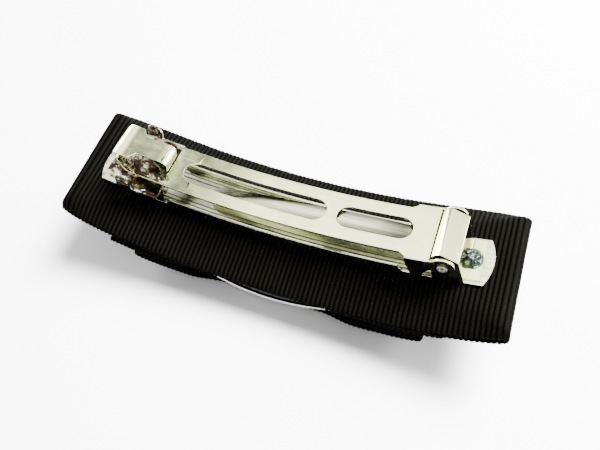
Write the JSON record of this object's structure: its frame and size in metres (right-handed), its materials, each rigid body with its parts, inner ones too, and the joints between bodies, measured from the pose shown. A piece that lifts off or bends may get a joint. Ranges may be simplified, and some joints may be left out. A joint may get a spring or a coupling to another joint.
{
  "type": "barrette hair clip with ribbon bow",
  "caption": "Flat stacked ribbon bow on a curved metal barrette clip with a hinged arm, an inner spring bar and a squeeze catch.",
  "frame": {"origin": "on the ground under the middle of the bow, in the plane of the flat that the front loop rests on", "axes": "+X along the clip from the catch to the hinge, +Z from the bow's front to the clip on its back, +Y across the ribbon"},
  "size_m": [0.0926, 0.0284, 0.026],
  "materials": {
    "ribbon": "matt ribbed ribbon",
    "stiffener": "matt",
    "backing": "matt black card",
    "polished_plate": "polished",
    "plated_steel": "bright nickel plating",
    "pin_steel": "satin",
    "spring_steel": "bright nickel plating",
    "rivet_metal": "zinc plated"
  },
  "bodies": {
    "clip_base": {"back_loop": "ribbon", "middle_loop": "ribbon", "front_loop": "ribbon", "stiffener": "stiffener", "oval_backing": "backing", "oval_plate": "polished_plate", "base_plate": "plated_steel", "hinge_bracket": "plated_steel", "hinge_pin": "pin_steel", "fixing_rivets": "rivet_metal", "rivet_washers": "rivet_metal", "catch_foot": "plated_steel"},
    "arm": {"arm": "plated_steel"},
    "spring_bar": {"spring_bar": "spring_steel"},
    "wing_near": {"catch_wing_near": "spring_steel"},
    "wing_far": {"catch_wing_far": "spring_steel"}
  },
  "joints": [
    {"name": "arm_hinge", "type": "hinge", "parent": "clip_base", "child": "arm", "pos_m": [0.03205, 0, 0.02123], "axis": [0, 1, 0], "range_deg": [0, 75]},
    {"name": "spring_bar_hinge", "type": "hinge", "parent": "clip_base", "child": "spring_bar", "pos_m": [0.03205, 0, 0.02123], "axis": [0, 1, 0], "range_deg": [0, 27]},
    {"name": "wing_near_squeeze", "type": "hinge", "parent": "clip_base", "child": "wing_near", "pos_m": [-0.03002, -0.0034, 0.01538], "axis": [-0.983, 0, 0.1838], "range_deg": [0, 5.5], "stiffness_Nm_per_rad": 0.2},
    {"name": "wing_far_squeeze", "type": "hinge", "parent": "clip_base", "child": "wing_far", "pos_m": [-0.03002, 0.0034, 0.01538], "axis": [0.983, 0, -0.1838], "range_deg": [0, 5.5], "stiffness_Nm_per_rad": 0.2}
  ],
  "couplings": [
    {"joint": "spring_bar_hinge", "follows": "arm_hinge", "ratio": 0.35}
  ]
}
